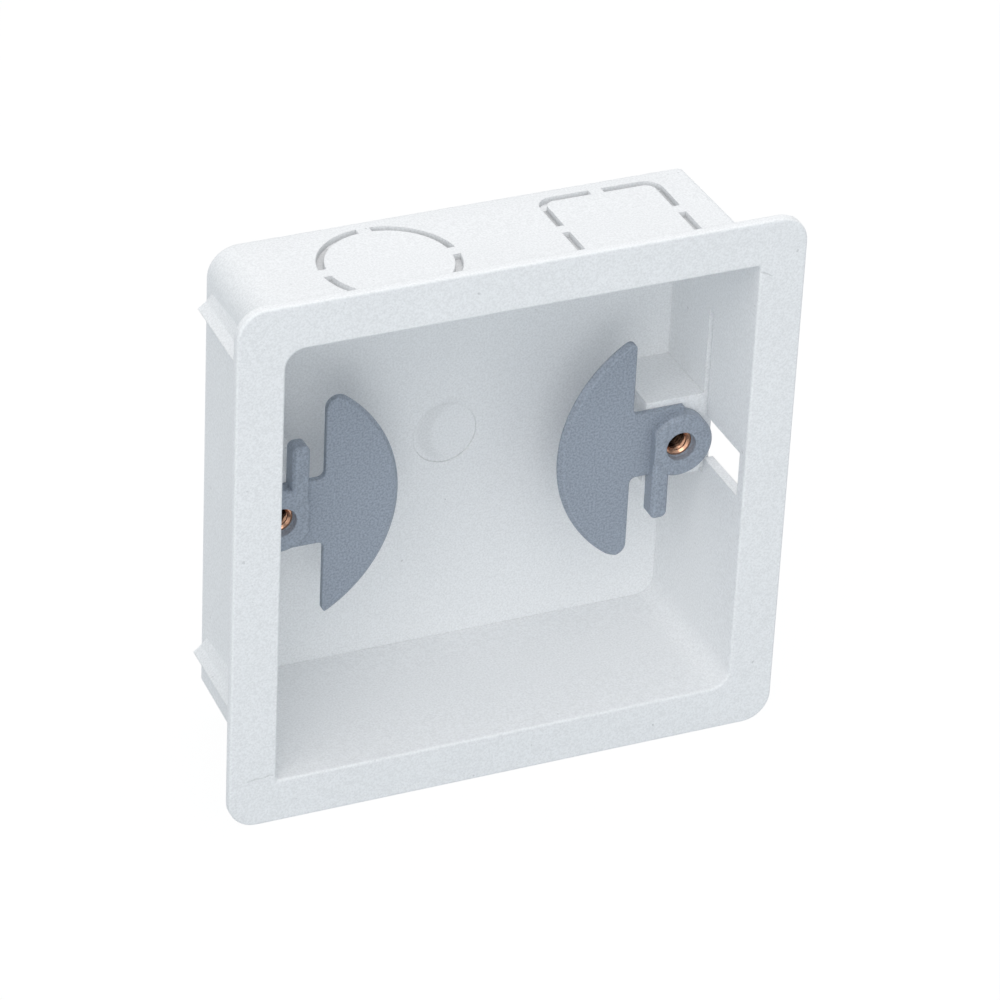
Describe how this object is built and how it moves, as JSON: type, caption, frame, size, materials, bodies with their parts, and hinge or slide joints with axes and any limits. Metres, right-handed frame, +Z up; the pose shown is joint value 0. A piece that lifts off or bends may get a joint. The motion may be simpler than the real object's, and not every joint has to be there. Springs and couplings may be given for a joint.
{
  "type": "drywall back box",
  "caption": "Shallow square flush box with a flange for plasterboard walls; swing lugs pass through slots in its sides to clamp the board and take the faceplate screws.",
  "frame": {"origin": "middle of the wall face, on the rear of the flange", "axes": "+X to the right seen from the room, +Y into the wall, +Z up"},
  "size_m": [0.083, 0.0279, 0.083],
  "materials": {
    "white_plastic": "fine matt moulded",
    "grey_plastic": "satin moulded",
    "insert_brass": "machined"
  },
  "bodies": {
    "box": {"back_box": "white_plastic"},
    "right_lug": {"right_lug": "grey_plastic", "right_insert": "insert_brass"},
    "left_lug": {"left_lug": "grey_plastic", "left_insert": "insert_brass"}
  },
  "joints": [
    {"name": "right_lug_swing", "type": "hinge", "parent": "box", "child": "right_lug", "pos_m": [0.03015, 0.0126, 0], "axis": [0, 1, 0], "range_deg": [-28, 180]},
    {"name": "left_lug_swing", "type": "hinge", "parent": "box", "child": "left_lug", "pos_m": [-0.03015, 0.0126, 0], "axis": [0, 1, 0], "range_deg": [-28, 180]}
  ]
}
